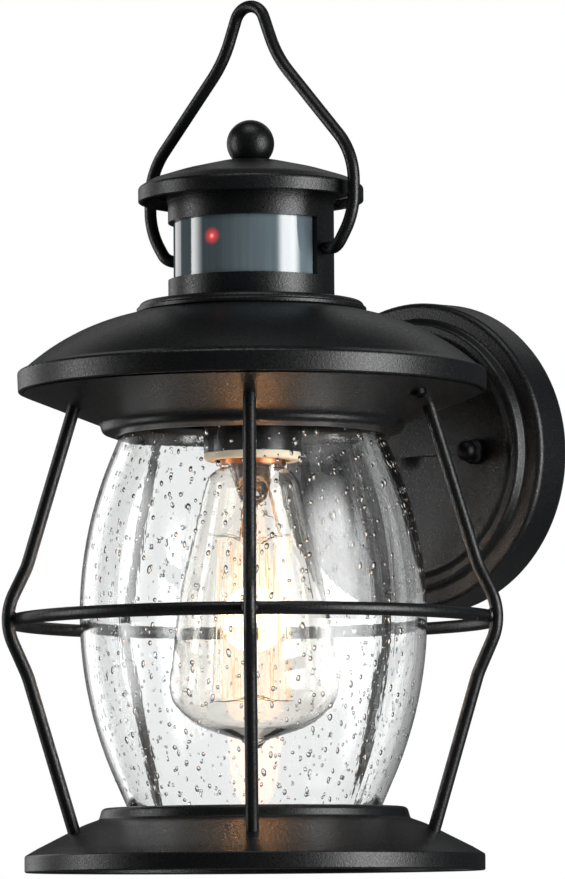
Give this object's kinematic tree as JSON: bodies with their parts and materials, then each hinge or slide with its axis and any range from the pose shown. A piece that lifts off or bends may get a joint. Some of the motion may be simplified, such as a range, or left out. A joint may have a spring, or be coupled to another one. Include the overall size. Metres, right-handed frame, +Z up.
{
  "type": "outdoor wall lantern",
  "caption": "Beacon-style outdoor wall lantern: round wall plate, domed roof with motion sensor head, seeded glass barrel in a wire cage, filament bulb and wire handle.",
  "frame": {"origin": "centre of the wall plate's back, in the plane of the wall", "axes": "+Z up, -Y away from the wall, +X to the right seen from the front"},
  "size_m": [0.193, 0.2225, 0.3402],
  "materials": {
    "powder_coat": "fine textured black powder coat",
    "black_steel": "satin black zinc",
    "zinc_steel": "bright zinc plate",
    "ground_green": "green dyed zinc",
    "foam": "closed-cell foam",
    "silicone": "black silicone",
    "phenolic": "moulded black phenolic",
    "ceramic": "unglazed cream",
    "shell_brass": "drawn, slightly tarnished",
    "cap_brass": "rolled thread, satin",
    "solder": "solder",
    "bulb_glass": "clear blown",
    "filament_glow": "glowing",
    "support_wire": "bright wire",
    "seeded_glass": "clear, with seeds",
    "lens_plastic": "smoky polished",
    "circuit_board": "solder mask",
    "detector_can": "nickel plated",
    "led_red": "lit epoxy",
    "photocell_face": "resin coated",
    "module_case": "moulded relay case"
  },
  "bodies": {
    "lantern": {"canopy": "powder_coat", "arm_tube": "powder_coat", "roof": "powder_coat", "roof_collar": "powder_coat", "pan": "powder_coat", "cage_wire_1": "powder_coat", "cage_wire_2": "powder_coat", "cage_wire_3": "powder_coat", "cage_wire_4": "powder_coat", "cage_wire_5": "powder_coat", "cage_ring": "powder_coat", "base": "powder_coat", "sensor_housing": "powder_coat", "top_cap": "powder_coat", "pan_screws": "black_steel", "mounting_bar": "zinc_steel", "canopy_studs": "zinc_steel", "arm_lock_nut": "zinc_steel", "socket_hanger": "zinc_steel", "socket_nipple": "zinc_steel", "nipple_nuts": "zinc_steel", "housing_screws": "zinc_steel", "cap_rod": "zinc_steel", "ground_screw": "ground_green", "canopy_gasket": "foam", "glass_gasket_top": "silicone", "glass_gasket_bottom": "silicone", "socket_body": "phenolic", "socket_rim": "ceramic", "socket_shell": "shell_brass", "socket_contact": "shell_brass", "glass_shade": "seeded_glass", "sensor_lens": "lens_plastic", "sensor_board": "circuit_board", "pir_detector": "detector_can", "status_led": "led_red", "photocell": "photocell_face", "driver_module": "module_case"},
    "bulb": {"bulb_cap": "cap_brass", "bulb_contact": "solder", "bulb_envelope": "bulb_glass", "bulb_stem": "bulb_glass", "bulb_filament": "filament_glow", "filament_supports": "support_wire"},
    "left_nut": {"canopy_nut_left": "black_steel"},
    "right_nut": {"canopy_nut_right": "black_steel"},
    "finial": {"finial_ball": "powder_coat"},
    "handle": {"bail": "powder_coat"}
  },
  "joints": [
    {"name": "bail_swing", "type": "hinge", "parent": "lantern", "child": "handle", "pos_m": [0, -0.1226, 0.0728], "axis": [1, 0, 0], "range_deg": [-106, 108]},
    {"name": "bulb_out", "type": "slide", "parent": "lantern", "child": "bulb", "axis": [0, 0, -1], "range_m": [0, 0.2]},
    {"name": "left_nut_turn", "type": "hinge", "parent": "lantern", "child": "left_nut", "pos_m": [-0.033, -0.0253, 0], "axis": [0, 1, 0], "continuous": true},
    {"name": "right_nut_turn", "type": "hinge", "parent": "lantern", "child": "right_nut", "pos_m": [0.033, -0.0253, 0], "axis": [0, 1, 0], "continuous": true},
    {"name": "finial_turn", "type": "hinge", "parent": "lantern", "child": "finial", "pos_m": [0, -0.126, 0.1161], "axis": [0, 0, 1], "continuous": true}
  ]
}
